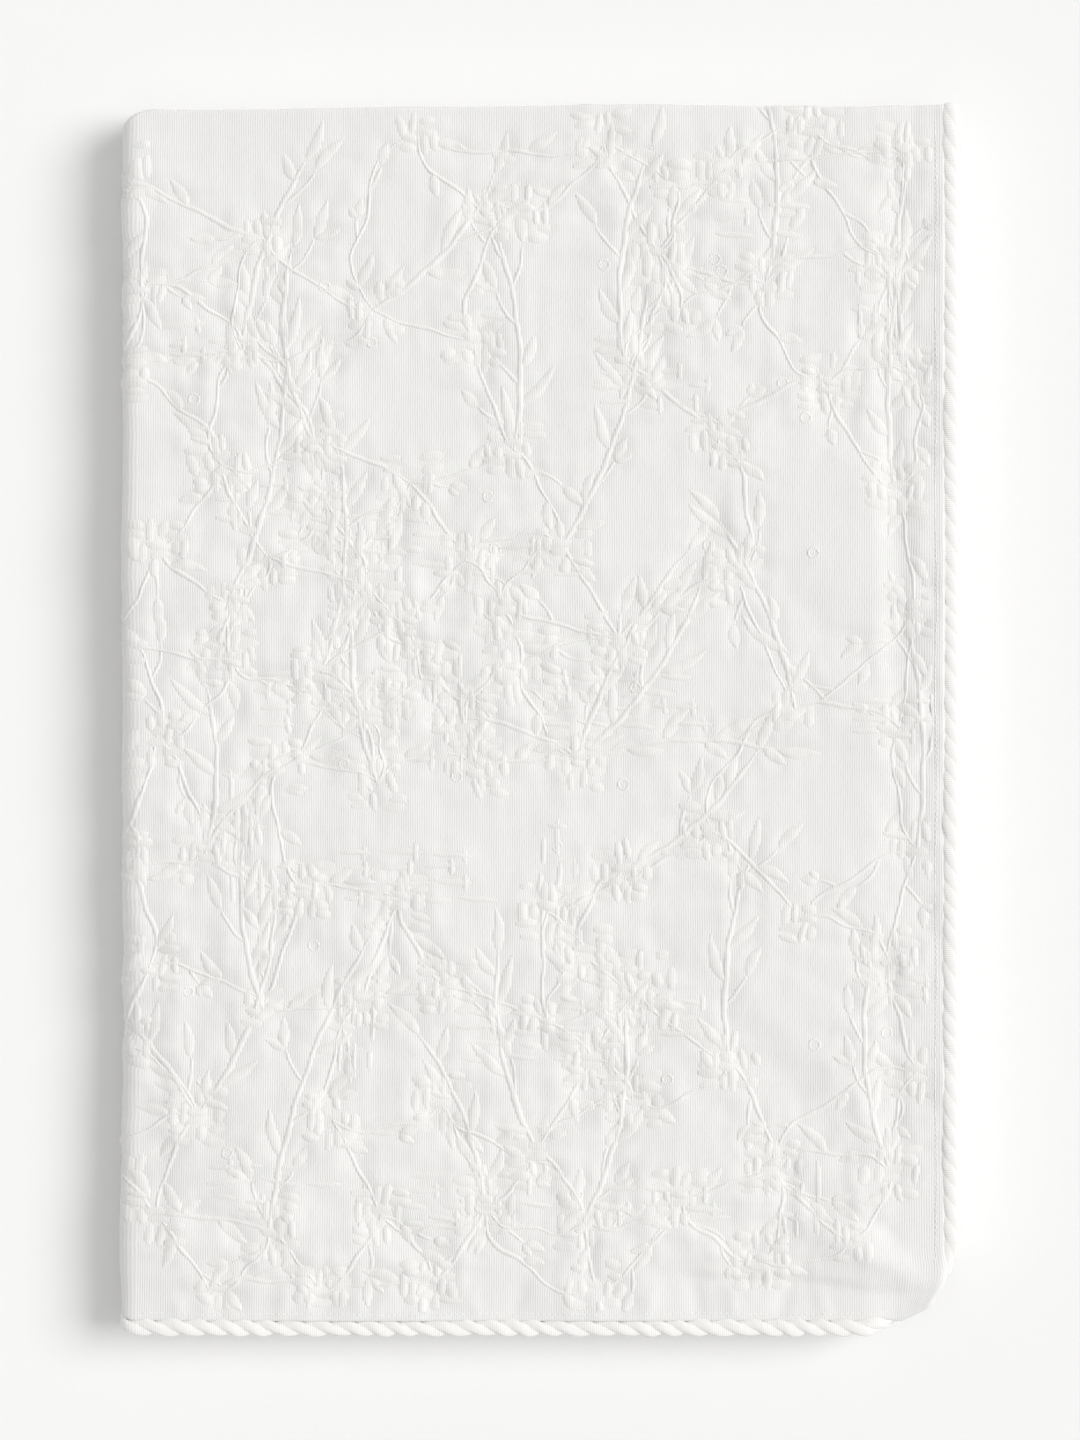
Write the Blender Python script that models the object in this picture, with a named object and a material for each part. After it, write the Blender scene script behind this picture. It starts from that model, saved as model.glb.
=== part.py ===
"""A woven cotton bedspread, folded in four each way, with a twisted cord sewn along each edge.

The sheet is measured in u across its width and v along its length, both from the corner that
lies on top at the front right. It is folded back and forth along v into a pack of four layers,
and the pack is folded back and forth along u into a stack of four packs. +X is the right side
of the stack, +Y its back, +Z up, and the origin is under the middle of its box.
"""

import math

import bmesh
import bpy
import numpy as np

# The cloth and its layers, in metres.
CLOTH = 0.0014
PITCH = 0.0026
PACK = 4 * PITCH
LOWEST_LAYER = 0.5 * PITCH

# The plan of the stack: its half sizes, the free edges, and the centres of the folds.
HALF_X = 0.2270
HALF_Y = 0.3330
RIGHT_EDGE = 0.2165
FRONT_EDGE = -0.3227
RIGHT_FOLD = RIGHT_EDGE - 0.0430
FRONT_FOLD = FRONT_EDGE + 0.0340
LEFT_FOLD_UPPER = -0.2168
LEFT_FOLD_LOWER = -0.2140
BACK_FOLD_UPPER = 0.3300
BACK_FOLD_LOWER = 0.3290

# Past the right fold the outer packs open to twice their height, so the cords lie free.
FAN_START = RIGHT_FOLD + 0.0010
FAN_END = RIGHT_FOLD + 0.0220
FAN = 2.0

# Past the front fold the outer layers of a pack close in by half a pitch.
DROP_START = FRONT_FOLD - 0.0015
DROP_END = FRONT_EDGE + 0.0025

# Where each straight run and each fold of the sheet ends, across and along.
FOLD_ACROSS = math.pi * PACK / 2
FOLD_ALONG = math.pi * PITCH / 2
U_ENDS = np.cumsum([
    RIGHT_EDGE - LEFT_FOLD_UPPER, FOLD_ACROSS,
    RIGHT_FOLD - LEFT_FOLD_UPPER, FOLD_ACROSS,
    RIGHT_FOLD - LEFT_FOLD_LOWER, FOLD_ACROSS,
    RIGHT_EDGE - LEFT_FOLD_LOWER,
])
V_ENDS = np.cumsum([
    BACK_FOLD_UPPER - FRONT_EDGE, FOLD_ALONG,
    BACK_FOLD_UPPER - FRONT_FOLD, FOLD_ALONG,
    BACK_FOLD_LOWER - FRONT_FOLD, FOLD_ALONG,
    BACK_FOLD_LOWER - FRONT_EDGE,
])
WIDTH = U_ENDS[-1]
LENGTH = V_ENDS[-1]

# Places across and along where the sheet has a row of points, shared by all its layers.
X_ROWS = (-0.150, -0.060, 0.040, 0.125)
X_EDGE_ROWS = (0.1840, 0.1955, 0.2080)
Y_ROWS = (-0.2400, -0.1650, -0.0700, 0.0300, 0.1300, 0.2200, 0.2950)
Y_EDGE_ROWS = (-0.3140, -0.3030)
ACROSS_FOLD_STEPS = 5
ALONG_FOLD_STEPS = 4

# At each corner of the sheet the cloth reaches over the place of the cord.
CORNER_REACH = 0.0093
CORNER_FULL_U = 0.0085
CORNER_NONE_U = 0.0264
CORNER_FULL_V = 0.0160
CORNER_NONE_V = 0.0347

# The cords: the gap to the cloth, the half sizes, and the twist of the two runs on top.
CORD_GAP = 0.0005
CORD_HALF_WIDTH = 0.0047
CORD_HALF_HEIGHT = 0.0019
CORD_PROUD = 0.0015
CORD_SIDES = 8
TWIST_PITCH = 0.0130
TWIST_STEPS = 3
TWIST_DEPTH = 0.10
CORD_START_V = 0.0360
CORD_START_U = 0.0275
CORD_TAPER = 0.0100
CORD_TIP = 0.55
ROW_GAP = 0.004

# How the front right corner is rounded in plan, and where that starts inside its reach.
CORNER_X = 0.054
CORNER_Y = 0.046
ROUND_START = 0.20
ROUND_FULL = 0.75

# How the left corners fall back from the ends of the stack.
# side in y, radius, width
LEFT_CORNERS = (
    (1, 0.024, 0.016),
    (-1, 0.014, 0.008),
)

# Soft mounds and troughs, as a share of the height at their middle.
# x, y, half length, half width, turn in degrees, share
FORMS = (
    (0.193, 0.087, 0.090, 0.010, 90, -0.045),
    (0.113, -0.097, 0.080, 0.018, 0, -0.025),
    (0.120, -0.190, 0.085, 0.022, -47, -0.030),
    (0.173, -0.287, 0.045, 0.016, -23, 0.055),
    (0.120, -0.308, 0.080, 0.010, -4, -0.035),
    (-0.222, -0.210, 0.150, 0.026, 90, -0.090),
    (-0.222, 0.150, 0.190, 0.014, 90, -0.030),
    (-0.060, 0.070, 0.150, 0.110, 20, 0.025),
    (0.090, 0.190, 0.110, 0.080, -30, 0.018),
    (-0.070, -0.160, 0.120, 0.050, 65, 0.015),
)


def smooth_step(value, low, high):
    """0 up to low, 1 from high on, and smooth between."""
    t = np.clip((value - low) / (high - low), 0, 1)
    return t * t * (3 - 2 * t)


def fan_at(u):
    """How far the layers open at u: 1 over the stack, FAN at the free right edge."""
    x_upper = RIGHT_EDGE - u
    x_lower = LEFT_FOLD_LOWER + (u - U_ENDS[5])
    x = np.where(u < U_ENDS[0], x_upper, np.where(u > U_ENDS[5], x_lower, 0))
    return 1 + (FAN - 1) * smooth_step(x, FAN_START, FAN_END)


def fold_along(v, fan):
    """The y of v, and its height in its pack."""
    part = np.searchsorted(V_ENDS, v).clip(0, 6)
    begin = np.concatenate([[0], V_ENDS])[part]
    run = v - begin
    turn = math.pi * run / FOLD_ALONG
    radius = 0.5 * PITCH * fan
    half = 0.5 * PITCH
    closing = half * smooth_step(-(FRONT_EDGE + run), -DROP_START, -DROP_END)
    y_last = BACK_FOLD_LOWER - run
    closing_last = half * smooth_step(-y_last, -DROP_START, -DROP_END)
    y = np.select(
        [part == k for k in range(7)],
        [
            FRONT_EDGE + run,
            BACK_FOLD_UPPER + radius * np.sin(turn),
            BACK_FOLD_UPPER - run,
            FRONT_FOLD - radius * np.sin(turn),
            FRONT_FOLD + run,
            BACK_FOLD_LOWER + radius * np.sin(turn),
            y_last,
        ],
    )
    rise = np.select(
        [part == k for k in range(7)],
        [
            7 * half - closing,
            6 * half + half * np.cos(turn),
            5 * half + 0 * run,
            4 * half + half * np.cos(turn),
            3 * half + 0 * run,
            2 * half + half * np.cos(turn),
            half + closing_last,
        ],
    )
    return y, rise


def fold_across(u, rise, fan):
    """The x and z of u, for a layer at this height in its pack."""
    part = np.searchsorted(U_ENDS, u).clip(0, 6)
    begin = np.concatenate([[0], U_ENDS])[part]
    run = u - begin
    turn = math.pi * run / FOLD_ACROSS
    inner = PACK - rise
    x = np.select(
        [part == k for k in range(7)],
        [
            RIGHT_EDGE - run,
            LEFT_FOLD_UPPER - rise * np.sin(turn),
            LEFT_FOLD_UPPER + run,
            RIGHT_FOLD + inner * np.sin(turn),
            RIGHT_FOLD - run,
            LEFT_FOLD_LOWER - rise * np.sin(turn),
            LEFT_FOLD_LOWER + run,
        ],
    )
    z = np.select(
        [part == k for k in range(7)],
        [
            4 * PACK - fan * inner,
            3 * PACK + rise * np.cos(turn),
            3 * PACK - rise,
            2 * PACK + inner * np.cos(turn),
            PACK + rise,
            PACK + rise * np.cos(turn),
            fan * inner,
        ],
    )
    return x, z


def settle(x, y, z):
    """The stack as it lies: uneven in height and outline, with rounded corners."""
    share = 0 * x
    for middle_x, middle_y, half_length, half_width, degrees, form_share in FORMS:
        c = math.cos(math.radians(degrees))
        s = math.sin(math.radians(degrees))
        along = (c * (x - middle_x) + s * (y - middle_y)) / half_length
        across = (c * (y - middle_y) - s * (x - middle_x)) / half_width
        share = share + form_share * np.exp(-along * along - across * across)
    z_new = CLOTH / 2 + (z - LOWEST_LAYER) * (1 + share)
    left = smooth_step(-x, 0.08, HALF_X)
    back = smooth_step(y, 0.16, HALF_Y)
    level = z / (4 * PACK)
    x_new = x - left * (0.0009 * np.sin(14 * y + 0.6) + 0.0011 * np.sin(5.2 * level + 9 * y))
    y_new = y + back * (0.0007 * np.sin(17 * x + 1.0) + 0.0010 * np.sin(6.1 * level + 7 * x))
    for side, radius, width in LEFT_CORNERS:
        into = (-x_new - (HALF_X - width)).clip(0, 1.1 * width)
        fall = radius - np.sqrt(radius * radius - into * into)
        y_new = y_new - side * fall * smooth_step(side * y_new, 0.18, 0.32)
    p = (x_new - (HALF_X - CORNER_X)) / CORNER_X
    q = (-y_new - (HALF_Y - CORNER_Y)) / CORNER_Y
    inside = (p > 0) & (q > 0)
    p_in = p.clip(0, 1.2)
    q_in = q.clip(0, 1.2)
    p_full = smooth_step(p_in, ROUND_START, ROUND_FULL)
    q_full = smooth_step(q_in, ROUND_START, ROUND_FULL)
    p_round = p_in * np.sqrt(1 - 0.5 * p_full * q_in * q_in)
    q_round = q_in * np.sqrt(1 - 0.5 * q_full * p_in * p_in)
    x_new = np.where(inside, HALF_X - CORNER_X * (1 - p_round), x_new)
    y_new = np.where(inside, -HALF_Y + CORNER_Y * (1 - q_round), y_new)
    return np.stack([x_new, y_new, z_new], axis=-1)


def folded(u, v):
    """The point of the folded sheet's middle surface at u, v."""
    u, v = np.broadcast_arrays(np.asarray(u, float), np.asarray(v, float))
    fan = fan_at(u)
    y, rise = fold_along(v, fan)
    x, z = fold_across(u, rise, fan)
    return settle(x, y, z)


def raised(u, v, offset):
    """The point at this offset from the middle surface, on the side of the face."""
    step = 1e-5
    across = folded(u + step, v) - folded(u - step, v)
    along = folded(u, v + step) - folded(u, v - step)
    normal = np.cross(along, across)
    normal /= np.linalg.norm(normal, axis=-1, keepdims=True)
    return folded(u, v) + normal * np.asarray(offset)[..., None]


def rows_across():
    """The u of each row of points, and the pack or fold that follows it."""
    right = (*X_EDGE_ROWS[::-1], RIGHT_FOLD)
    inner = X_ROWS[::-1]
    upper = [RIGHT_EDGE - x for x in (*right, *inner)]
    fold = [FOLD_ACROSS * k / ACROSS_FOLD_STEPS for k in range(ACROSS_FOLD_STEPS)]
    rows = [0.0, *upper]
    rows += [U_ENDS[0] + t for t in fold]
    rows += [U_ENDS[1], *(U_ENDS[1] + x - LEFT_FOLD_UPPER for x in X_ROWS)]
    rows += [U_ENDS[2] + t for t in fold]
    rows += [U_ENDS[3], *(U_ENDS[3] + RIGHT_FOLD - x for x in inner)]
    rows += [U_ENDS[4] + t for t in fold]
    rows += [U_ENDS[5], *(U_ENDS[5] + x - LEFT_FOLD_LOWER for x in X_ROWS)]
    rows += [U_ENDS[5] + x - LEFT_FOLD_LOWER for x in right[::-1]]
    rows += [WIDTH]
    return np.array(rows)


def rows_along():
    """The v of each row of points."""
    front = (*Y_EDGE_ROWS, FRONT_FOLD)
    fold = [FOLD_ALONG * k / ALONG_FOLD_STEPS for k in range(ALONG_FOLD_STEPS)]
    rows = [0.0, *(y - FRONT_EDGE for y in (*front, *Y_ROWS))]
    rows += [V_ENDS[0] + t for t in fold]
    rows += [V_ENDS[1], *(V_ENDS[1] + BACK_FOLD_UPPER - y for y in Y_ROWS[::-1])]
    rows += [V_ENDS[2] + t for t in fold]
    rows += [V_ENDS[3], *(V_ENDS[3] + y - FRONT_FOLD for y in Y_ROWS)]
    rows += [V_ENDS[4] + t for t in fold]
    rows += [V_ENDS[5], *(V_ENDS[5] + BACK_FOLD_LOWER - y for y in Y_ROWS[::-1])]
    rows += [V_ENDS[5] + BACK_FOLD_LOWER - y for y in front[::-1]]
    rows += [LENGTH]
    return np.array(rows)


def reach_corners(u, v):
    """Moves points near the sheet's corners outwards, over the place of the cords."""
    from_u = np.minimum(u, WIDTH - u)
    from_v = np.minimum(v, LENGTH - v)
    near_u = 1 - smooth_step(from_u, CORNER_FULL_U, CORNER_NONE_U)
    near_v = 1 - smooth_step(from_v, CORNER_FULL_V, CORNER_NONE_V)
    out_u = CORNER_REACH * near_v * np.clip(1 - from_u / CORNER_NONE_U, 0, 1)
    out_v = CORNER_REACH * near_u * np.clip(1 - from_v / CORNER_NONE_V, 0, 1)
    u_new = u + np.where(u < WIDTH / 2, -out_u, out_u)
    v_new = v + np.where(v < LENGTH / 2, -out_v, out_v)
    return u_new, v_new


def new_object(name, points, faces, material):
    """An object of these points and faces, with its faces turned outwards."""
    mesh = bpy.data.meshes.new(name)
    mesh.from_pydata([tuple(p) for p in points], [], faces)
    build = bmesh.new()
    build.from_mesh(mesh)
    bmesh.ops.recalc_face_normals(build, faces=build.faces)
    build.to_mesh(mesh)
    build.free()
    mesh.materials.append(material)
    obj = bpy.data.objects.new(name, mesh)
    bpy.context.scene.collection.objects.link(obj)
    return obj


def split_quad(a, b, c, d, first):
    """Two triangles of a quad, cut from a to c or from b to d."""
    if first:
        return [(a, b, c), (a, c, d)]
    return [(a, b, d), (b, c, d)]


def run_number(value, ends):
    """Which straight run a row belongs to, with a fold counted as the run before it."""
    return int(np.searchsorted(ends, value + 1e-7).clip(0, 6)) // 2


def make_sheet(material):
    """The whole sheet as one body, with its faces cut alike in every layer."""
    us = rows_across()
    vs = rows_along()
    grid_u, grid_v = np.meshgrid(us, vs, indexing="ij")
    cut_u, cut_v = reach_corners(grid_u, grid_v)
    half = np.full(grid_u.shape, CLOTH / 2)
    points = np.concatenate([
        raised(cut_u, cut_v, half).reshape(-1, 3),
        raised(cut_u, cut_v, -half).reshape(-1, 3),
    ])
    rows, columns = grid_u.shape
    below = rows * columns
    faces = []
    for i in range(rows - 1):
        for j in range(columns - 1):
            a = i * columns + j
            b = a + 1
            d = a + columns
            c = d + 1
            first = (run_number(us[i], U_ENDS) + run_number(vs[j], V_ENDS)) % 2 == 0
            faces += split_quad(a, b, c, d, first)
            faces += split_quad(a + below, b + below, c + below, d + below, first)
    rim = [(0, j) for j in range(columns)]
    rim += [(i, columns - 1) for i in range(1, rows)]
    rim += [(rows - 1, j) for j in range(columns - 2, -1, -1)]
    rim += [(i, 0) for i in range(rows - 2, 0, -1)]
    around = [i * columns + j for i, j in rim]
    for a, b in zip(around, around[1:] + around[:1]):
        faces.append((a, b, b + below, a + below))
    return new_object("cloth", points, faces, material)


def rows_between(rows, start, end):
    """The sheet's rows between a cord's two ends, with those ends."""
    inside = rows[(rows > start + ROW_GAP) & (rows < end - ROW_GAP)]
    return np.array([start, *inside, end])


def twisted_rows(start, end, rows):
    """Close rows from start to end for the twist, then the sheet's own rows."""
    count = round((end - start) / (TWIST_PITCH / TWIST_STEPS))
    close = np.linspace(start, end, count + 1)
    return np.concatenate([close, rows[rows > end + 1e-6]])


def make_cord(name, rows, along_v, far_edge, top_end, fold_end, material):
    """A cord along one edge. Up to top_end it stands proud and twisted, past fold_end plain.

    along_v says that the cord follows v, and far_edge that it lies past the far edge.
    """
    turns = 2 * math.pi * np.arange(CORD_SIDES) / CORD_SIDES
    place, turn = np.meshgrid(rows, turns, indexing="ij")
    proud = np.clip((fold_end - place) / max(fold_end - top_end, 1e-9), 0, 1)
    from_tip = np.minimum(place - rows[0], rows[-1] - place)
    size = CORD_TIP + (1 - CORD_TIP) * np.clip(from_tip / CORD_TAPER, 0, 1)
    hand = 1 if along_v else -1
    lump = np.cos(2 * math.pi * (place - rows[0]) / TWIST_PITCH + hand * turn)
    twist = size * (1 + np.where(place <= top_end, TWIST_DEPTH, 0) * lump)
    middle = CORD_GAP + CORD_HALF_WIDTH * (1 + TWIST_DEPTH)
    out = middle + CORD_HALF_WIDTH * twist * np.cos(turn)
    height = CORD_HALF_HEIGHT + CORD_PROUD * proud
    offset = CORD_PROUD * proud + height * np.where(np.sin(turn) > 0, twist, size) * np.sin(turn)
    if along_v:
        u = WIDTH + out if far_edge else -out
        points = raised(u, place, offset)
    else:
        v = LENGTH + out if far_edge else -out
        points = raised(place, v, offset)
    count = len(rows)
    faces = []
    for i in range(count - 1):
        for k in range(CORD_SIDES):
            a = i * CORD_SIDES + k
            b = i * CORD_SIDES + (k + 1) % CORD_SIDES
            faces.append((a, b, b + CORD_SIDES, a + CORD_SIDES))
    faces.append(tuple(range(CORD_SIDES)))
    faces.append(tuple((count - 1) * CORD_SIDES + k for k in range(CORD_SIDES)))
    return new_object(name, points.reshape(-1, 3), faces, material)


def make_material(name, colour, roughness):
    material = bpy.data.materials.new(name)
    material.use_nodes = True
    shader = material.node_tree.nodes["Principled BSDF"]
    shader.inputs["Base Color"].default_value = (*colour, 1)
    shader.inputs["Roughness"].default_value = roughness
    shader.inputs["Metallic"].default_value = 0
    return material


def main():
    for obj in list(bpy.data.objects):
        bpy.data.objects.remove(obj, do_unlink=True)

    cotton = make_material("woven_cotton", (0.83, 0.825, 0.81), 0.85)
    corded = make_material("corded_cotton", (0.86, 0.85, 0.83), 0.80)
    make_sheet(cotton)

    across = rows_across()
    along = rows_along()
    u_rows = rows_between(across, CORD_START_U, WIDTH - CORD_START_U)
    v_rows = rows_between(along, CORD_START_V, LENGTH - CORD_START_V)
    u_top = twisted_rows(CORD_START_U, U_ENDS[0], u_rows)
    v_top = twisted_rows(CORD_START_V, V_ENDS[0], v_rows)
    make_cord("side_cord_upper", v_top, True, False, V_ENDS[0], V_ENDS[1], corded)
    make_cord("side_cord_lower", v_rows, True, True, -1.0, -0.5, corded)
    make_cord("end_cord_upper", u_top, False, False, U_ENDS[0], U_ENDS[1], corded)
    make_cord("end_cord_lower", u_rows, False, True, -1.0, -0.5, corded)


main()
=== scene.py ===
"""The looks of a folded bedspread: white ribbed cotton, raised flowers, and twisted cords.

The sheet is measured in u across its width and v along its length, as in the solids. Places on
the top layer are given in x and y, in metres, as they are seen from above.
"""

import math

import bpy
import numpy as np
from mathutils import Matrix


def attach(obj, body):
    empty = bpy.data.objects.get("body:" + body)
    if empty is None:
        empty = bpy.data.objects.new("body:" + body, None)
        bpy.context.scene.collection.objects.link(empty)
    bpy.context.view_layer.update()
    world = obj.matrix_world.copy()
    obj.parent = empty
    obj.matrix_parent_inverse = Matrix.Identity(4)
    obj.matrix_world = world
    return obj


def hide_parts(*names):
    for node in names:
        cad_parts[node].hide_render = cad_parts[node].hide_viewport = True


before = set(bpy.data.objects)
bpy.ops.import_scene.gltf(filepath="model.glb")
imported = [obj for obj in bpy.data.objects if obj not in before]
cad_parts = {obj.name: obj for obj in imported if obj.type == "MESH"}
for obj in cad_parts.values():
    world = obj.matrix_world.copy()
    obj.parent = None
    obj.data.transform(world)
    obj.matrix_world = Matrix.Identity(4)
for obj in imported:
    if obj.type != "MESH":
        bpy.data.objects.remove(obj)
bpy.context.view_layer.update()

# The cloth and its layers.
CLOTH = 0.0014
PITCH = 0.0026
PACK = 4 * PITCH
LOWEST_LAYER = 0.5 * PITCH

# The plan of the stack: its half sizes, the free edges, and the centres of the folds.
HALF_X = 0.2270
HALF_Y = 0.3330
RIGHT_EDGE = 0.2165
FRONT_EDGE = -0.3227
RIGHT_FOLD = RIGHT_EDGE - 0.0430
FRONT_FOLD = FRONT_EDGE + 0.0340
LEFT_FOLD_UPPER = -0.2168
LEFT_FOLD_LOWER = -0.2140
BACK_FOLD_UPPER = 0.3300
BACK_FOLD_LOWER = 0.3290
FAN_START = RIGHT_FOLD + 0.0010
FAN_END = RIGHT_FOLD + 0.0220
FAN = 2.0
DROP_START = FRONT_FOLD - 0.0015
DROP_END = FRONT_EDGE + 0.0025
FOLD_ACROSS = math.pi * PACK / 2
FOLD_ALONG = math.pi * PITCH / 2
U_ENDS = np.cumsum([
    RIGHT_EDGE - LEFT_FOLD_UPPER, FOLD_ACROSS,
    RIGHT_FOLD - LEFT_FOLD_UPPER, FOLD_ACROSS,
    RIGHT_FOLD - LEFT_FOLD_LOWER, FOLD_ACROSS,
    RIGHT_EDGE - LEFT_FOLD_LOWER,
])
V_ENDS = np.cumsum([
    BACK_FOLD_UPPER - FRONT_EDGE, FOLD_ALONG,
    BACK_FOLD_UPPER - FRONT_FOLD, FOLD_ALONG,
    BACK_FOLD_LOWER - FRONT_FOLD, FOLD_ALONG,
    BACK_FOLD_LOWER - FRONT_EDGE,
])
WIDTH = U_ENDS[-1]
LENGTH = V_ENDS[-1]

# The hem runs under the cord, and at each corner it reaches over the cord's end and rolls down.
HEM_REACH = 0.0022
HEM_RISE = 0.0008
HEM_SLOPE = 0.0080
CORNER_REACH = 0.0052
REACH_START = 0.0264
CORNER_FULL_U = 0.0190
CORNER_NONE_U = 0.0310
CORNER_FULL_V = 0.0220
CORNER_NONE_V = 0.0370
CORNER_ROLL = 0.0030

# How far inside the edges the seams run.
SIDE_SEAM = 0.0026
FRONT_SEAM = 0.0016

# The cords.
CORD_GAP = 0.0005
CORD_HALF_WIDTH = 0.0047
CORD_HALF_HEIGHT = 0.0019
CORD_PROUD = 0.0003
CORD_SWELL = 0.10
CORD_START_V = 0.0205
CORD_START_U = 0.0210
CORD_TAPER = 0.0120
CORD_TIP = 0.50
TUCK_LENGTH = 0.0200
TUCK_IN = 0.0044
TUCK_DOWN = 0.0024

# How the corners of the stack are rounded.
CORNER_X = 0.054
CORNER_Y = 0.046
ROUND_START = 0.20
ROUND_FULL = 0.75

# How the left corners fall back from the ends of the stack.
# side in y, radius, width
LEFT_CORNERS = (
    (1, 0.021, 0.0185),
    (-1, 0.014, 0.008),
)

# Soft mounds and troughs of the whole stack, as a share of the height at their middle.
# x, y, half length, half width, turn in degrees, share
FORMS = (
    (0.193, 0.087, 0.090, 0.012, 90, -0.030),
    (0.113, -0.097, 0.080, 0.018, 0, -0.025),
    (0.120, -0.190, 0.085, 0.022, -47, -0.030),
    (0.173, -0.287, 0.045, 0.016, -23, 0.055),
    (0.120, -0.308, 0.080, 0.010, -4, -0.035),
    (-0.222, -0.210, 0.150, 0.026, 90, -0.090),
    (-0.222, 0.150, 0.190, 0.014, 90, -0.030),
    (-0.060, 0.070, 0.150, 0.110, 20, 0.025),
    (0.090, 0.190, 0.110, 0.080, -30, 0.018),
    (-0.070, -0.160, 0.120, 0.050, 65, 0.015),
)

# Soft creases of the top layer, each a ridge or a trough along a line.
# start x, start y, end x, end y, half width, height
CREASES = (
    (0.136, -0.272, 0.208, -0.305, 0.0070, 0.0019),
    (0.060, -0.302, 0.205, -0.313, 0.0036, -0.0012),
    (0.150, -0.262, 0.196, -0.282, 0.0045, -0.0012),
    (0.188, 0.170, 0.194, 0.010, 0.0060, -0.0007),
    (0.203, 0.190, 0.204, -0.040, 0.0050, 0.0005),
    (0.178, 0.120, 0.181, 0.020, 0.0045, 0.0004),
    (0.045, -0.096, 0.180, -0.100, 0.0060, -0.0010),
    (0.040, -0.084, 0.170, -0.088, 0.0060, 0.0006),
    (0.075, -0.135, 0.185, -0.255, 0.0075, -0.0006),
    (0.092, -0.130, 0.198, -0.240, 0.0075, 0.0005),
    (0.050, -0.165, 0.150, -0.262, 0.0080, -0.0006),
    (0.120, -0.120, 0.206, -0.185, 0.0065, -0.0006),
    (0.192, -0.110, 0.199, -0.235, 0.0055, 0.0007),
    (0.184, -0.120, 0.188, -0.225, 0.0050, -0.0007),
    (0.030, -0.070, 0.080, -0.150, 0.0080, -0.0007),
    (-0.190, -0.020, -0.180, -0.290, 0.0110, -0.0010),
    (-0.205, 0.230, -0.198, 0.020, 0.0090, -0.0007),
    (-0.150, -0.250, -0.060, -0.285, 0.0080, -0.0008),
    (-0.020, 0.250, 0.120, 0.215, 0.0100, -0.0006),
    (0.110, 0.090, 0.170, 0.030, 0.0090, -0.0007),
    (-0.120, 0.170, -0.020, 0.190, 0.0100, -0.0006),
)

# Short puckers that run in from the front seam.
# x, length, half width, height
FRONT_PUCKERS = (
    (-0.196, 0.020, 0.0035, 0.0008),
    (-0.171, 0.030, 0.0040, -0.0009),
    (-0.140, 0.026, 0.0035, 0.0008),
    (-0.118, 0.034, 0.0045, -0.0010),
    (-0.086, 0.026, 0.0035, 0.0008),
    (-0.061, 0.036, 0.0040, -0.0010),
    (-0.034, 0.022, 0.0035, 0.0009),
    (-0.012, 0.034, 0.0045, -0.0011),
    (0.014, 0.030, 0.0040, 0.0009),
    (0.037, 0.040, 0.0045, -0.0012),
    (0.059, 0.028, 0.0035, 0.0010),
    (0.083, 0.036, 0.0045, -0.0012),
    (0.106, 0.026, 0.0035, 0.0010),
    (0.131, 0.030, 0.0040, -0.0011),
    (0.152, 0.022, 0.0035, 0.0009),
)

# Short puckers that run in from the right seam.
# y, length, half width, height
RIGHT_PUCKERS = (
    (0.290, 0.020, 0.0040, 0.0006),
    (0.245, 0.026, 0.0045, -0.0007),
    (0.205, 0.020, 0.0040, 0.0007),
    (0.160, 0.026, 0.0050, -0.0008),
    (0.118, 0.018, 0.0040, 0.0007),
    (0.072, 0.026, 0.0050, -0.0009),
    (0.025, 0.020, 0.0040, 0.0008),
    (-0.022, 0.028, 0.0050, -0.0008),
    (-0.068, 0.020, 0.0040, 0.0008),
    (-0.112, 0.028, 0.0050, -0.0009),
    (-0.158, 0.024, 0.0045, 0.0009),
    (-0.205, 0.030, 0.0055, -0.0010),
    (-0.246, 0.022, 0.0045, 0.0010),
)

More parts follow.
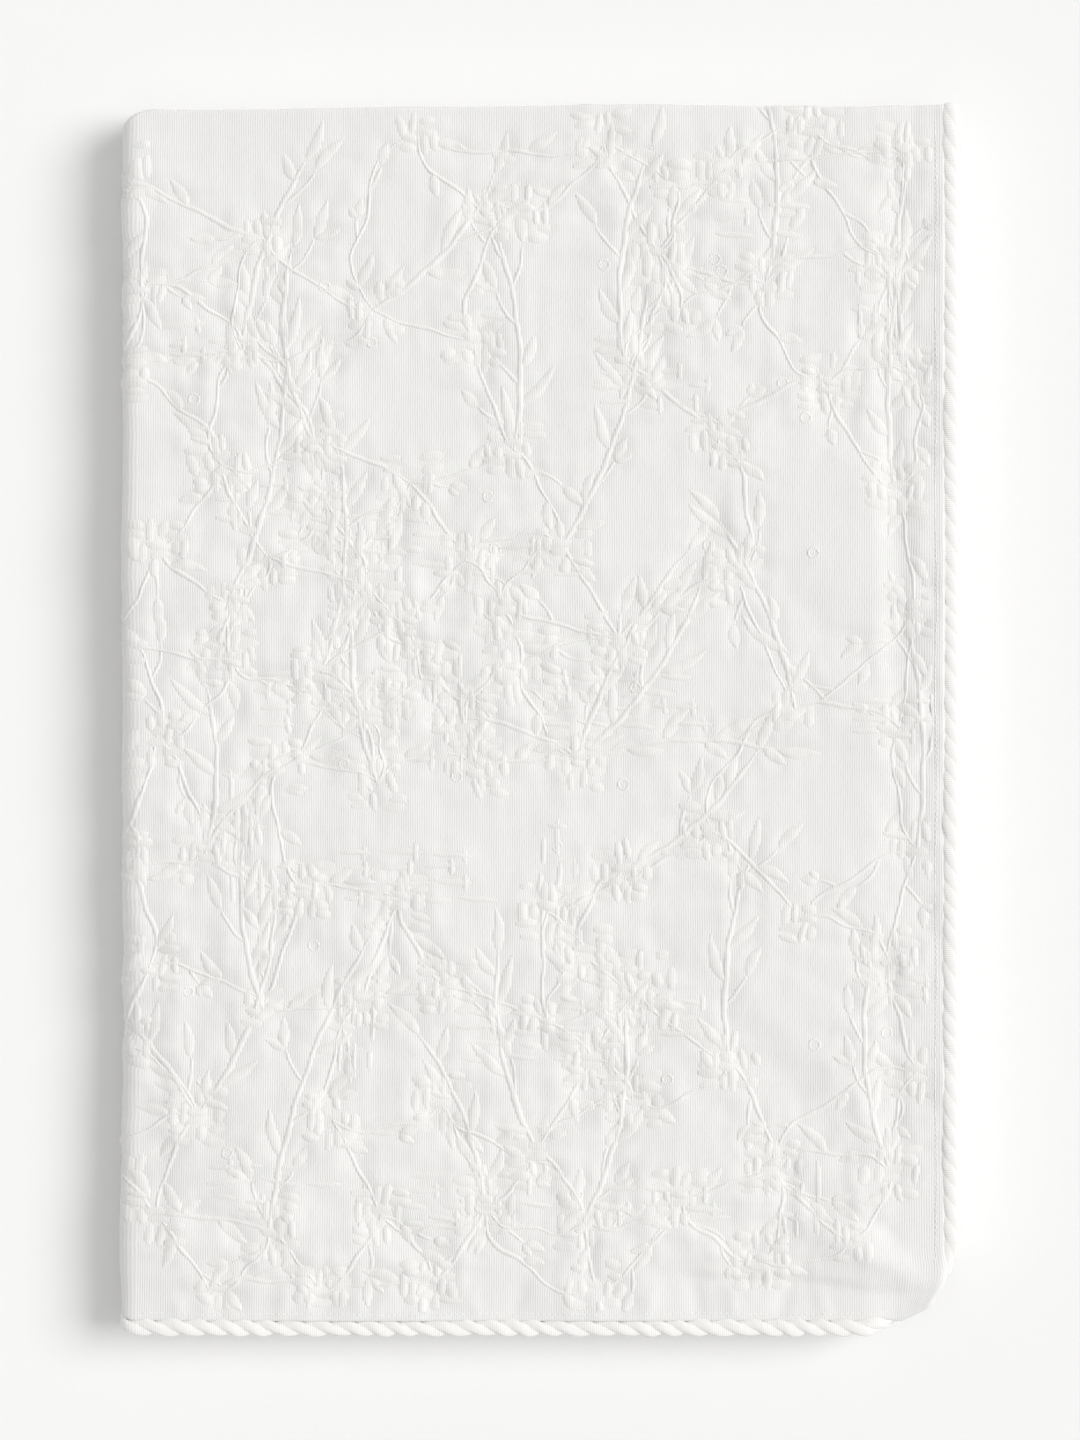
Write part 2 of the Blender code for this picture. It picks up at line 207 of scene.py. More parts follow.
# The flowers of the weave, close together at the left and middle, and fewer at the right.
# x, y, blocks across
FLOWERS = (
    (-0.172, 0.138, 3),
    (-0.122, 0.150, 3),
    (-0.070, 0.128, 3),
    (-0.014, 0.146, 3),
    (-0.206, 0.092, 3),
    (-0.146, 0.088, 3),
    (-0.094, 0.074, 4),
    (-0.040, 0.086, 3),
    (0.012, 0.094, 3),
    (-0.168, 0.034, 3),
    (-0.118, 0.026, 3),
    (-0.064, 0.022, 4),
    (-0.010, 0.030, 4),
    (0.042, 0.044, 3),
    (-0.208, -0.010, 3),
    (-0.142, -0.026, 3),
    (-0.088, -0.034, 3),
    (-0.034, -0.026, 3),
    (0.020, -0.022, 3),
    (-0.212, 0.236, 2),
    (-0.150, 0.262, 2),
    (-0.160, 0.200, 2),
    (-0.090, 0.222, 3),
    (-0.036, 0.206, 3),
    (-0.066, 0.318, 2),
    (-0.010, 0.274, 3),
    (0.034, 0.312, 3),
    (0.064, 0.252, 3),
    (0.046, 0.192, 3),
    (0.100, 0.296, 3),
    (0.122, 0.236, 3),
    (0.148, 0.320, 3),
    (0.096, 0.150, 3),
    (0.156, 0.182, 3),
    (0.196, 0.306, 3),
    (0.190, 0.248, 3),
    (0.200, 0.186, 3),
    (0.192, 0.124, 3),
    (0.202, 0.060, 3),
    (0.194, -0.004, 2),
    (0.204, -0.070, 3),
    (0.188, -0.128, 3),
    (0.204, -0.190, 3),
    (0.190, -0.246, 3),
    (0.106, 0.078, 3),
    (0.138, 0.006, 2),
    (0.092, -0.060, 3),
    (0.140, -0.110, 2),
    (0.044, -0.082, 3),
    (0.004, -0.104, 3),
    (0.052, -0.146, 4),
    (0.004, -0.164, 3),
    (0.050, -0.206, 3),
    (0.102, -0.184, 3),
    (-0.182, -0.072, 3),
    (-0.128, -0.092, 3),
    (-0.076, -0.098, 3),
    (-0.212, -0.132, 3),
    (-0.150, -0.156, 2),
    (-0.096, -0.152, 3),
    (-0.050, -0.144, 3),
    (-0.186, -0.214, 3),
    (-0.112, -0.216, 3),
    (-0.054, -0.206, 3),
    (-0.206, -0.268, 3),
    (-0.146, -0.276, 3),
    (-0.086, -0.268, 3),
    (-0.030, -0.262, 3),
    (0.024, -0.270, 3),
    (0.076, -0.258, 3),
    (0.126, -0.242, 3),
    (0.120, -0.292, 3),
    (0.168, -0.282, 2),
    (-0.060, -0.306, 3),
    (0.030, -0.308, 3),
    (-0.176, -0.310, 2),
    (-0.118, -0.312, 3),
    (-0.226, 0.300, 3),
    (-0.228, 0.186, 3),
    (-0.227, 0.046, 3),
    (-0.228, -0.075, 3),
    (-0.226, -0.176, 3),
    (-0.228, -0.240, 3),
    (-0.120, 0.108, 3),
    (-0.070, 0.050, 3),
    (-0.020, 0.060, 3),
    (-0.092, 0.000, 3),
    (-0.040, 0.000, 3),
    (-0.168, 0.064, 2),
    (0.024, -0.126, 3),
    (0.028, -0.184, 3),
    (-0.002, -0.232, 3),
    (0.076, 0.222, 2),
    (0.070, 0.290, 2),
)

# Long leafy branches. The heading is in degrees from +X, and the bend is its change along it.
# x, y, heading, length, bend
BRANCHES = (
    (-0.168, -0.262, 84, 0.170, -26),
    (-0.160, -0.222, 118, 0.080, 22),
    (-0.158, -0.196, 52, 0.120, 34),
    (-0.148, -0.160, 112, 0.090, -30),
    (-0.036, -0.262, 96, 0.100, 30),
    (0.030, -0.240, 62, 0.130, 38),
    (0.026, -0.236, 118, 0.110, -34),
    (0.004, -0.060, 74, 0.130, -24),
    (0.012, -0.052, 40, 0.120, 30),
    (0.010, -0.060, 20, 0.110, -34),
    (-0.070, -0.060, 110, 0.120, -30),
    (-0.120, 0.010, 70, 0.130, 34),
    (-0.176, 0.080, 64, 0.140, 26),
    (-0.100, 0.160, 118, 0.110, -44),
    (-0.030, 0.140, 80, 0.120, 30),
    (0.030, 0.120, 58, 0.150, 28),
    (0.070, 0.180, 100, 0.120, -34),
    (0.120, 0.200, 76, 0.110, 30),
    (0.160, 0.140, 98, 0.130, -20),
    (0.194, 0.200, 104, 0.110, -26),
    (0.150, -0.030, 100, 0.110, 24),
    (0.168, -0.070, 82, 0.130, 22),
    (0.130, -0.180, 98, 0.110, -28),
    (0.170, -0.230, 112, 0.120, -34),
    (0.060, -0.110, 24, 0.100, 36),
    (-0.190, 0.180, 86, 0.110, -28),
    (-0.120, 0.230, 30, 0.100, 36),
    (-0.205, -0.060, 74, 0.090, 30),
)

# Bars of floats that run level or upright through the flowers.
# x, y, length, turn in degrees, lines
BANDS = (
    (-0.150, 0.118, 0.060, 0, 3),
    (-0.085, 0.096, 0.070, 0, 4),
    (-0.016, 0.088, 0.056, 0, 3),
    (-0.120, 0.010, 0.074, 0, 4),
    (-0.050, 0.000, 0.060, 90, 3),
    (0.040, 0.010, 0.078, 0, 4),
    (-0.160, -0.070, 0.062, 90, 3),
    (-0.075, -0.084, 0.070, 0, 4),
    (0.010, -0.090, 0.052, 90, 3),
    (0.066, -0.160, 0.064, 0, 3),
    (-0.010, -0.170, 0.070, 0, 4),
    (-0.100, -0.168, 0.052, 90, 3),
    (-0.150, -0.250, 0.060, 0, 3),
    (-0.040, -0.258, 0.070, 0, 4),
    (0.060, -0.262, 0.058, 0, 3),
    (0.140, -0.262, 0.044, 90, 3),
    (0.180, 0.230, 0.050, 90, 3),
    (0.060, 0.180, 0.056, 0, 3),
    (0.190, 0.000, 0.044, 0, 3),
    (0.186, -0.140, 0.040, 0, 3),
    (-0.180, 0.205, 0.050, 0, 3),
    (0.120, 0.270, 0.056, 0, 3),
)

# The crinkled ground. Each kind is spread by its radii in x and y, and by_cover is how much
# more of it there is among the raised threads.
# radius x, radius y, height, by cover
CRINKLES = (
    (0.0030, 0.0030, 0.00015, 0.7),
    (0.0085, 0.0025, 0.00037, 0.93),
    (0.0025, 0.0100, 0.00024, 0.85),
    (0.0080, 0.0080, 0.00038, 0.88),
    (0.0280, 0.0280, 0.00045, 0.0),
)

# Sizes of the raised weave.
STEM_WIDTH = 0.0039
STEM_HEIGHT = 0.00078
TWIG_WIDTH = 0.0030
LEAF_WIDTH = 0.0069
LEAF_HEIGHT = 0.00085
CELL = 0.0052
FLOAT_HEIGHT = 0.00090
RIM_SINK = 0.00018

# The part of a left fold that carries raised weave, as shares of the way round it. Past it the
# folds lie against each other or on the ground.
FOLD_BARE_TOP = 0.14
FOLD_BARE_END = 0.86
RIB_PITCH = 0.00125

# The cell of the field of heights, and how the ground puffs between the raised threads.
FIELD_CELL = 0.0015
FIELD_X = 0.246
FIELD_Y = 0.348
PUFF = 0.0030
PAD_HEIGHT = 0.0013
PAD_BLUR = 0.0032

FINE_STEP = 0.0024
FINE_PER_MEDIUM = 3
COARSE_STEP = 0.0285


def smooth_step(value, low, high):
    """0 up to low, 1 from high on, and smooth between."""
    t = np.clip((value - low) / (high - low), 0, 1)
    return t * t * (3 - 2 * t)


# The fold of the sheet, as in the solids.


def fan_at(u):
    """How far the layers open at u: 1 over the stack, FAN at the free right edge."""
    x_upper = RIGHT_EDGE - u
    x_lower = LEFT_FOLD_LOWER + (u - U_ENDS[5])
    x = np.where(u < U_ENDS[0], x_upper, np.where(u > U_ENDS[5], x_lower, 0))
    return 1 + (FAN - 1) * smooth_step(x, FAN_START, FAN_END)


def fold_along(v, fan):
    """The y of v, and its height in its pack."""
    part = np.searchsorted(V_ENDS, v).clip(0, 6)
    run = v - np.concatenate([[0], V_ENDS])[part]
    turn = math.pi * run / FOLD_ALONG
    radius = 0.5 * PITCH * fan
    half = 0.5 * PITCH
    closing = half * smooth_step(-(FRONT_EDGE + run), -DROP_START, -DROP_END)
    y_last = BACK_FOLD_LOWER - run
    closing_last = half * smooth_step(-y_last, -DROP_START, -DROP_END)
    places = [
        FRONT_EDGE + run,
        BACK_FOLD_UPPER + radius * np.sin(turn),
        BACK_FOLD_UPPER - run,
        FRONT_FOLD - radius * np.sin(turn),
        FRONT_FOLD + run,
        BACK_FOLD_LOWER + radius * np.sin(turn),
        y_last,
    ]
    rises = [
        7 * half - closing,
        6 * half + half * np.cos(turn),
        5 * half + 0 * run,
        4 * half + half * np.cos(turn),
        3 * half + 0 * run,
        2 * half + half * np.cos(turn),
        half + closing_last,
    ]
    chosen = [part == k for k in range(7)]
    return np.select(chosen, places), np.select(chosen, rises)


def fold_across(u, rise, fan):
    """The x and z of u, for a layer at this height in its pack."""
    part = np.searchsorted(U_ENDS, u).clip(0, 6)
    run = u - np.concatenate([[0], U_ENDS])[part]
    turn = math.pi * run / FOLD_ACROSS
    inner = PACK - rise
    places = [
        RIGHT_EDGE - run,
        LEFT_FOLD_UPPER - rise * np.sin(turn),
        LEFT_FOLD_UPPER + run,
        RIGHT_FOLD + inner * np.sin(turn),
        RIGHT_FOLD - run,
        LEFT_FOLD_LOWER - rise * np.sin(turn),
        LEFT_FOLD_LOWER + run,
    ]
    heights = [
        4 * PACK - fan * inner,
        3 * PACK + rise * np.cos(turn),
        3 * PACK - rise,
        2 * PACK + inner * np.cos(turn),
        PACK + rise,
        PACK + rise * np.cos(turn),
        fan * inner,
    ]
    chosen = [part == k for k in range(7)]
    return np.select(chosen, places), np.select(chosen, heights)


def settle(x, y, z):
    """The stack as it lies: uneven in height and outline, with rounded corners."""
    share = 0 * x
    for middle_x, middle_y, half_length, half_width, degrees, form_share in FORMS:
        c = math.cos(math.radians(degrees))
        s = math.sin(math.radians(degrees))
        along = (c * (x - middle_x) + s * (y - middle_y)) / half_length
        across = (c * (y - middle_y) - s * (x - middle_x)) / half_width
        share = share + form_share * np.exp(-along * along - across * across)
    z_new = CLOTH / 2 + (z - LOWEST_LAYER) * (1 + share)
    left = smooth_step(-x, 0.08, HALF_X)
    back = smooth_step(y, 0.16, HALF_Y)
    level = z / (4 * PACK)
    x_new = x - left * (0.0009 * np.sin(14 * y + 0.6) + 0.0011 * np.sin(5.2 * level + 9 * y))
    y_new = y + back * (0.0007 * np.sin(17 * x + 1.0) + 0.0010 * np.sin(6.1 * level + 7 * x))
    for side, radius, width in LEFT_CORNERS:
        into = (-x_new - (HALF_X - width)).clip(0, 1.1 * width)
        fall = radius - np.sqrt(radius * radius - into * into)
        y_new = y_new - side * fall * smooth_step(side * y_new, 0.18, 0.32)
    p = (x_new - (HALF_X - CORNER_X)) / CORNER_X
    q = (-y_new - (HALF_Y - CORNER_Y)) / CORNER_Y
    inside = (p > 0) & (q > 0)
    p_in = p.clip(0, 1.2)
    q_in = q.clip(0, 1.2)
    p_full = smooth_step(p_in, ROUND_START, ROUND_FULL)
    q_full = smooth_step(q_in, ROUND_START, ROUND_FULL)
    p_round = p_in * np.sqrt(1 - 0.5 * p_full * q_in * q_in)
    q_round = q_in * np.sqrt(1 - 0.5 * q_full * p_in * p_in)
    x_new = np.where(inside, HALF_X - CORNER_X * (1 - p_round), x_new)
    y_new = np.where(inside, -HALF_Y + CORNER_Y * (1 - q_round), y_new)
    return np.stack([x_new, y_new, z_new], axis=-1)


def folded(u, v):
    """The point of the folded sheet's middle surface at u, v."""
    u, v = np.broadcast_arrays(np.asarray(u, float), np.asarray(v, float))
    fan = fan_at(u)
    y, rise = fold_along(v, fan)
    x, z = fold_across(u, rise, fan)
    return settle(x, y, z)


def raised(u, v, offset):
    """The point at this offset from the middle surface, on the side of the face."""
    step = 1e-5
    across = folded(u + step, v) - folded(u - step, v)
    along = folded(u, v + step) - folded(u, v - step)
    normal = np.cross(along, across)
    normal /= np.linalg.norm(normal, axis=-1, keepdims=True)
    return folded(u, v) + normal * np.asarray(offset)[..., None]


# The raised weave: each patch is a grid of x, y and height over the ground.


def ribbon(path, widths, heights, across=7, groove=0.0):
    """A low rounded ridge along a path, with its rims a little under the ground."""
    direction = np.gradient(path, axis=0)
    direction /= np.maximum(np.linalg.norm(direction, axis=1, keepdims=True), 1e-9)
    side = np.stack([-direction[:, 1], direction[:, 0]], axis=1)
    run = np.concatenate([[0], np.cumsum(np.hypot(*np.diff(path, axis=0).T))])
    a, b = 90 * path[0]
    sway = 0.00015 * np.sin(run / 0.0021 + a) + 0.00040 * np.sin(run / 0.0052 + b)
    path = path + side * (sway * smooth_step(run, 0, 0.010))[:, None]
    heights = heights * (1 + 0.20 * np.sin(run / 0.0013 + b) + 0.14 * np.sin(run / 0.0029 + a))
    place = np.linspace(-1, 1, across)
    bulge = (1 - place * place) ** 1.5
    bulge = bulge * (1 - groove * np.exp(-((place / 0.22) ** 2)))
    x = path[:, :1] + side[:, :1] * place * widths[:, None] / 2
    y = path[:, 1:] + side[:, 1:] * place * widths[:, None] / 2
    height = heights[:, None] * bulge - RIM_SINK * (np.abs(place) > 0.99)
    return x, y, height


def curve_from(x, y, heading, length, bend, step=0.0025):
    """A path whose heading turns evenly by bend degrees."""
    count = max(int(round(length / step)), 3)
    angles = np.radians(heading + bend * (np.arange(count) + 0.5) / count)
    pieces = np.stack([np.cos(angles), np.sin(angles)], axis=1) * length / count
    return np.concatenate([[[x, y]], np.array([x, y]) + np.cumsum(pieces, axis=0)])


def bowed(start, end, bow, step=0.0025):
    """A path from start to end that bows to one side by this share of its length."""
    start = np.array(start)
    along = np.array(end) - start
    t = np.linspace(0, 1, max(int(np.hypot(*along) / step), 4) + 1)[:, None]
    side = np.array([-along[1], along[0]])
    return start + along * t + side * bow * (np.sin(math.pi * t) + 0.25 * np.sin(3 * math.pi * t))


def stem(path, width, height):
    """A thread that thins out towards its end."""
    t = np.linspace(0, 1, len(path))
    taper = smooth_step(t, -0.30, 0.30) * smooth_step(1 - t, -0.10, 0.16)
    knots = 1.0 - 0.35 * t + 0.10 * np.sin(9 * t + 40 * path[0, 0])
    return ribbon(path, width * knots * taper, height * knots * taper)


def leaf(x, y, heading, length, bend=18, width=LEAF_WIDTH):
    path = curve_from(x, y, heading, length, bend, length / 11)
    t = np.linspace(0, 1, len(path))
    form = np.sin(math.pi * t ** 0.8) ** 0.85
    return ribbon(path, 0.0004 + width * form, LEAF_HEIGHT * form ** 0.5, 9, 0.12)


def bar(x, y, length, width, degrees, height=FLOAT_HEIGHT):
    """One raised float of a flower or a band, centred on x, y."""
    angle = math.radians(degrees)
    t = np.linspace(-1, 1, 6)
    path = np.stack([
        x + t * length / 2 * math.cos(angle),
        y + t * length / 2 * math.sin(angle),
    ], axis=1)
    form = (1 - np.abs(t) ** 3 * 0.92) ** 0.6
    return ribbon(path, width * (0.35 + 0.65 * form), height * form, 5)


def flower(x, y, blocks, chance):
    """Pairs of level and upright floats by turns, like a loose basket weave."""
    patches = []
    middle = (blocks - 1) / 2
    for i in range(blocks):
        for j in range(blocks):
            if math.hypot(i - middle, j - middle) > 0.6 * blocks or chance.random() < 0.1:
                continue
            upright = (i + j) % 2
            for pair in (-0.5, 0.5):
                if chance.random() < 0.12:
                    continue
                shift = chance.normal(0, 0.0010, 2)
                aside = pair * CELL * chance.uniform(0.9, 1.2)
                patches.append(bar(
                    x + (i - middle) * 2 * CELL + aside * upright + shift[0],
                    y + (j - middle) * 2 * CELL + aside * (1 - upright) + shift[1],
                    2 * CELL * chance.uniform(0.7, 1.3), CELL * chance.uniform(0.9, 1.45),
                    90 * upright + chance.normal(0, 9), FLOAT_HEIGHT * chance.uniform(0.6, 1.15),
                ))
    return patches


def band(x, y, length, degrees, lines, chance):
    """Parallel rows of floats with short gaps."""
    patches = []
    angle = math.radians(degrees)
    along = np.array([math.cos(angle), math.sin(angle)])
    across = np.array([-along[1], along[0]])
    for line in range(lines):
        start = -length / 2 + chance.uniform(0, 0.006)
        while start < length / 2 - 0.004:
            size = chance.uniform(0.009, 0.024)
            middle = along * (start + size / 2)
            off = (line - (lines - 1) / 2) * 0.0085 + chance.normal(0, 0.0012)
            middle = middle + across * off
            width = chance.uniform(0.0030, 0.0050)
            patches.append(bar(
                x + middle[0], y + middle[1], size, width, degrees + chance.normal(0, 4),
                FLOAT_HEIGHT * chance.uniform(0.5, 0.9),
            ))
            if chance.random() < 0.5:
                patches.append(bar(
                    x + middle[0] + 0.3 * size * along[0], y + middle[1] + 0.3 * size * along[1],
                    0.0095, 0.0042, degrees + 90 + chance.normal(0, 5),
                    FLOAT_HEIGHT * chance.uniform(0.5, 0.9),
                ))
            start += size + chance.uniform(0.002, 0.012)
    return patches


def ring(x, y, radius):
    angles = np.linspace(0, 2 * math.pi, 17)
    path = np.stack([x + radius * np.cos(angles), y + radius * np.sin(angles)], axis=1)
    return ribbon(path, np.full(17, 0.0018), np.full(17, 0.0004), 5)


def spray(path, gap, size, stems, leaves, chance):
    """Leaves and twigs on both sides of a stem, pointing forward, about gap apart."""
    direction = np.gradient(path, axis=0)
    headings = np.degrees(np.arctan2(direction[:, 1], direction[:, 0]))
    length = np.hypot(*(path[1:] - path[:-1]).T).sum()
    side = chance.choice((-1, 1))
    place = gap * chance.uniform(0.3, 0.8)
    while place < length - 0.3 * gap:
        k = int(place / length * (len(path) - 1))
        x, y = path[k]
        side = -side
        place += gap * chance.uniform(0.6, 1.4)
        start = headings[k] + side * chance.uniform(28, 60)
        long = size * chance.uniform(0.65, 1.3)
        if chance.random() < 0.6:
            leaves.append(leaf(x, y, start, long, -side * chance.uniform(5, 40)))
            continue
        twig = curve_from(x, y, start, 0.9 * long, -side * chance.uniform(10, 50))
        stems.append(stem(twig, TWIG_WIDTH, 0.8 * STEM_HEIGHT))
        tip = twig[-1]
        end = start - side * 30
        leaves.append(leaf(tip[0], tip[1], end, 0.8 * long, chance.uniform(-25, 25)))
        if chance.random() < 0.5:
            leaves.append(leaf(tip[0], tip[1], end + side * 50, 0.55 * long, 10, 0.0056))


def linked_pairs():
    """Each flower with its three nearest ones."""
    places = np.array([row[:2] for row in FLOWERS])
    gaps = np.hypot(*(places[:, None] - places[None]).transpose(2, 0, 1))
    nearest = np.argsort(gaps, axis=1)[:, 1:4]
    return sorted({tuple(sorted((a, int(b)))) for a in range(len(FLOWERS)) for b in nearest[a]})


def weave_patches():
    """All raised patches, in three groups."""
    chance = np.random.default_rng(11)
    stems, leaves, flowers = [], [], []
    for a, b in linked_pairs():
        path = bowed(FLOWERS[a][:2], FLOWERS[b][:2], chance.uniform(-0.22, 0.22))
        stems.append(stem(path, STEM_WIDTH * chance.uniform(0.6, 1.0), STEM_HEIGHT))
        spray(path, 0.030, 0.018, stems, leaves, chance)
    places = np.array([row[:2] for row in FLOWERS])
    for x, y, heading, length, bend in BRANCHES:
        root = places[np.argmin(np.hypot(places[:, 0] - x, places[:, 1] - y))]
        path = curve_from(root[0], root[1], heading, length, bend)
        stems.append(stem(path, 1.15 * STEM_WIDTH, 1.15 * STEM_HEIGHT))
        spray(path, 0.017, 0.024, stems, leaves, chance)
        tip = path[-1]
        leaves.append(leaf(tip[0], tip[1], heading + bend, 0.024))
    for row in FLOWERS:
        flowers += flower(*row, chance)
    for row in BANDS:
        flowers += band(*row, chance)
    for _ in range(30):
        flowers.append(ring(chance.uniform(-0.205, 0.205), chance.uniform(-0.30, 0.315), 0.0026))
    return {"woven_stems": stems, "woven_leaves": leaves, "woven_flowers": flowers}


# The field of heights of the top layer's ground.


def blurred(field, radius, radius_y=None):
    """The field blurred by a bell of these radii in metres."""
    radius_y = radius_y or radius
    wave_y = np.fft.fftfreq(field.shape[0], FIELD_CELL)[:, None]
    wave_x = np.fft.fftfreq(field.shape[1], FIELD_CELL)[None, :]
    bell = np.exp(-2 * math.pi ** 2 * ((radius * wave_x) ** 2 + (radius_y * wave_y) ** 2))
    return np.fft.ifft2(np.fft.fft2(field) * bell).real


def make_field(groups):
    """How far the ground of the top layer stands out, on a grid of cells in x and y."""
    nx = int(2 * FIELD_X / FIELD_CELL)
    ny = int(2 * FIELD_Y / FIELD_CELL)
    grid_x = (np.arange(nx) + 0.5) * FIELD_CELL - FIELD_X
    grid_y = (np.arange(ny) + 0.5) * FIELD_CELL - FIELD_Y
    x, y = np.meshgrid(grid_x, grid_y)
    cover = np.zeros((ny, nx))
    pads = np.zeros((ny, nx))
    for name, patches in groups.items():
        for px, py, _ in patches:
            column = ((px + FIELD_X) / FIELD_CELL).astype(int).clip(0, nx - 1)
            row = ((py + FIELD_Y) / FIELD_CELL).astype(int).clip(0, ny - 1)
            cover[row, column] = 1
            if name == "woven_flowers":
                pads[row, column] = 1
    near = blurred(cover, 0.0022).clip(0, 1)
    far = blurred(cover, 0.011).clip(0, 1)
    height = PUFF * far * (1 - near) ** 1.5 - 0.4 * PUFF * far
    height += PAD_HEIGHT * blurred(pads, PAD_BLUR)

    chance = np.random.default_rng(5)
    for radius_x, radius_y, size, by_cover in CRINKLES:
        noise = blurred(chance.normal(0, 1, (ny, nx)), radius_x, radius_y)
        share = 1 + by_cover * (2.2 * far.clip(0, 0.6) - 1)
        height += size * share * noise / noise.std()

    for x0, y0, x1, y1, half_width, size in CREASES:
        length = math.hypot(x1 - x0, y1 - y0)
        along_x = (x1 - x0) / length
        along_y = (y1 - y0) / length
        along = (x - x0) * along_x + (y - y0) * along_y
        t = along / length
        across = (y - y0) * along_x - (x - x0) * along_y
        across = across - 0.12 * half_width * np.sin(along / 0.011) - 0.003 * np.sin(math.pi * t)
        end = smooth_step(t, -0.15, 0.25) * smooth_step(1 - t, -0.15, 0.25)
        height += size * end * np.exp(-((across / half_width) ** 2))
    for place, length, half_width, size in FRONT_PUCKERS:
        inside = (y - FRONT_EDGE) / length
        drift = x - place - 0.002 * np.sin(inside * 4 + place * 90)
        end = smooth_step(1 - inside, 0, 0.8) * smooth_step(inside, -0.2, 0.2)
        height += size * end * np.exp(-((drift / half_width) ** 2))
    for place, length, half_width, size in RIGHT_PUCKERS:
        inside = (RIGHT_EDGE - x) / length
        drift = y - place - 0.003 * np.sin(inside * 3 + place * 70)
        end = smooth_step(1 - inside, 0, 0.8) * smooth_step(inside, -0.2, 0.2)
        height += 0.6 * size * end * np.exp(-((drift / half_width) ** 2))

    for inside, seam in ((RIGHT_EDGE - x, SIDE_SEAM), (y - FRONT_EDGE, FRONT_SEAM)):
        height -= 0.0002 * np.exp(-(((inside - seam) / 0.0012) ** 2))
        height += 0.0002 * np.exp(-(((inside - seam - 0.0045) / 0.0028) ** 2))
        height += HEM_RISE * (1 - smooth_step(inside, -0.0015, HEM_SLOPE))
    over_cord = np.maximum(x - RIGHT_EDGE, FRONT_EDGE - y).clip(0, None) / CORNER_REACH
    height -= CORNER_ROLL * over_cord ** 2.5
    return height


def read_field(field, x, y):
    """The field at x, y, smooth between its cells."""
    column = ((x + FIELD_X) / FIELD_CELL - 0.5).clip(0, field.shape[1] - 1.001)
    row = ((y + FIELD_Y) / FIELD_CELL - 0.5).clip(0, field.shape[0] - 1.001)
    i = row.astype(int)
    j = column.astype(int)
    s = row - i
    t = column - j
    low = field[i, j] * (1 - t) + field[i, j + 1] * t
    high = field[i + 1, j] * (1 - t) + field[i + 1, j + 1] * t
    return low * (1 - s) + high * s


def ground(field, u, v):
    """How far the ground stands out at u, v: only on the top layer and its two folds."""
    fade = smooth_step(U_ENDS[1] - u, 0, FOLD_ACROSS) * smooth_step(V_ENDS[1] - v, 0, FOLD_ALONG)
    return fade * read_field(field, RIGHT_EDGE - u, FRONT_EDGE + v)


def reach_corners(u, v):
    """Moves points near the edges outwards, under the cords, and over their ends."""
    from_u = np.minimum(u, WIDTH - u)
    from_v = np.minimum(v, LENGTH - v)
    near_u = 1 - smooth_step(from_u, CORNER_FULL_U, CORNER_NONE_U)
    near_v = 1 - smooth_step(from_v, CORNER_FULL_V, CORNER_NONE_V)
    more = CORNER_REACH - HEM_REACH
    out_u = (HEM_REACH + more * near_v) * np.clip(1 - from_u / REACH_START, 0, 1)
    out_v = (HEM_REACH + more * near_u) * np.clip(1 - from_v / REACH_START, 0, 1)
    u_new = u + np.where(u < WIDTH / 2, -out_u, out_u)
    v_new = v + np.where(v < LENGTH / 2, -out_v, out_v)
    return u_new, v_new


# Meshes.


def new_mesh(name, points, faces, material, uv=None):
    """A smooth object of these points and faces, with uv given for each point."""
    mesh = bpy.data.meshes.new(name)
    sizes = np.array([len(f) for f in faces], np.int32)
    corners = np.concatenate([np.asarray(f, np.int32) for f in faces]) if len(faces) else []
    mesh.vertices.add(len(points))
    mesh.vertices.foreach_set("co", np.ascontiguousarray(points, np.float32).ravel())
    mesh.loops.add(len(corners))
    mesh.loops.foreach_set("vertex_index", corners)
    mesh.polygons.add(len(faces))
    starts = np.concatenate([[0], np.cumsum(sizes)[:-1]]).astype(np.int32)
    mesh.polygons.foreach_set("loop_start", starts)
    mesh.update(calc_edges=True)
    mesh.validate()
    if uv is not None:
        layer = mesh.uv_layers.new(name="cloth")
        index = np.empty(len(mesh.loops), np.int32)
        mesh.loops.foreach_get("vertex_index", index)
        layer.data.foreach_set("uv", np.ascontiguousarray(uv[index], np.float32).ravel())
    mesh.shade_smooth()
    mesh.materials.append(material)
    obj = bpy.data.objects.new(name, mesh)
    bpy.context.scene.collection.objects.link(obj)
    return obj


def split_rows(stops, dense_end):
    """Coarse, medium and fine rows, each holding the one before. Past dense_end only coarse."""
    coarse, medium, fine = [], [], []
    for low, high in zip(stops, stops[1:]):
        parts = max(math.ceil((high - low) / COARSE_STEP - 1e-6), 1)
        coarse += list(np.linspace(low, high, parts + 1)[:-1])
    coarse.append(stops[-1])
    for low, high in zip(coarse, coarse[1:]):
        if low > dense_end - 1e-9:
            medium.append(low)
            fine.append(low)
            continue
        parts = max(math.ceil((high - low) / (FINE_STEP * FINE_PER_MEDIUM)), 1)
        inner = np.linspace(low, high, parts + 1)
        medium += list(inner[:-1])
        for a, b in zip(inner, inner[1:]):
            fine += list(np.linspace(a, b, FINE_PER_MEDIUM + 1)[:-1])
    medium.append(coarse[-1])
    fine.append(coarse[-1])
    fine = np.array(fine)
    as_index = [np.searchsorted(fine, np.array(rows) - 1e-9) for rows in (coarse, medium)]
    return fine, as_index[0], as_index[1]


def fold_stops(ends, edge_stops, steps):
    """The ends of each run and the steps round each fold."""
    stops = [0.0, *edge_stops]
    low = 0.0
    for k, high in enumerate(ends):
        if k % 2:
            stops += [low + (high - low) * n / steps for n in range(1, steps)]
        stops.append(high)
        low = high
    last = [ends[-1] - s for s in edge_stops]
    return sorted(set(np.round(stops + last, 9)))


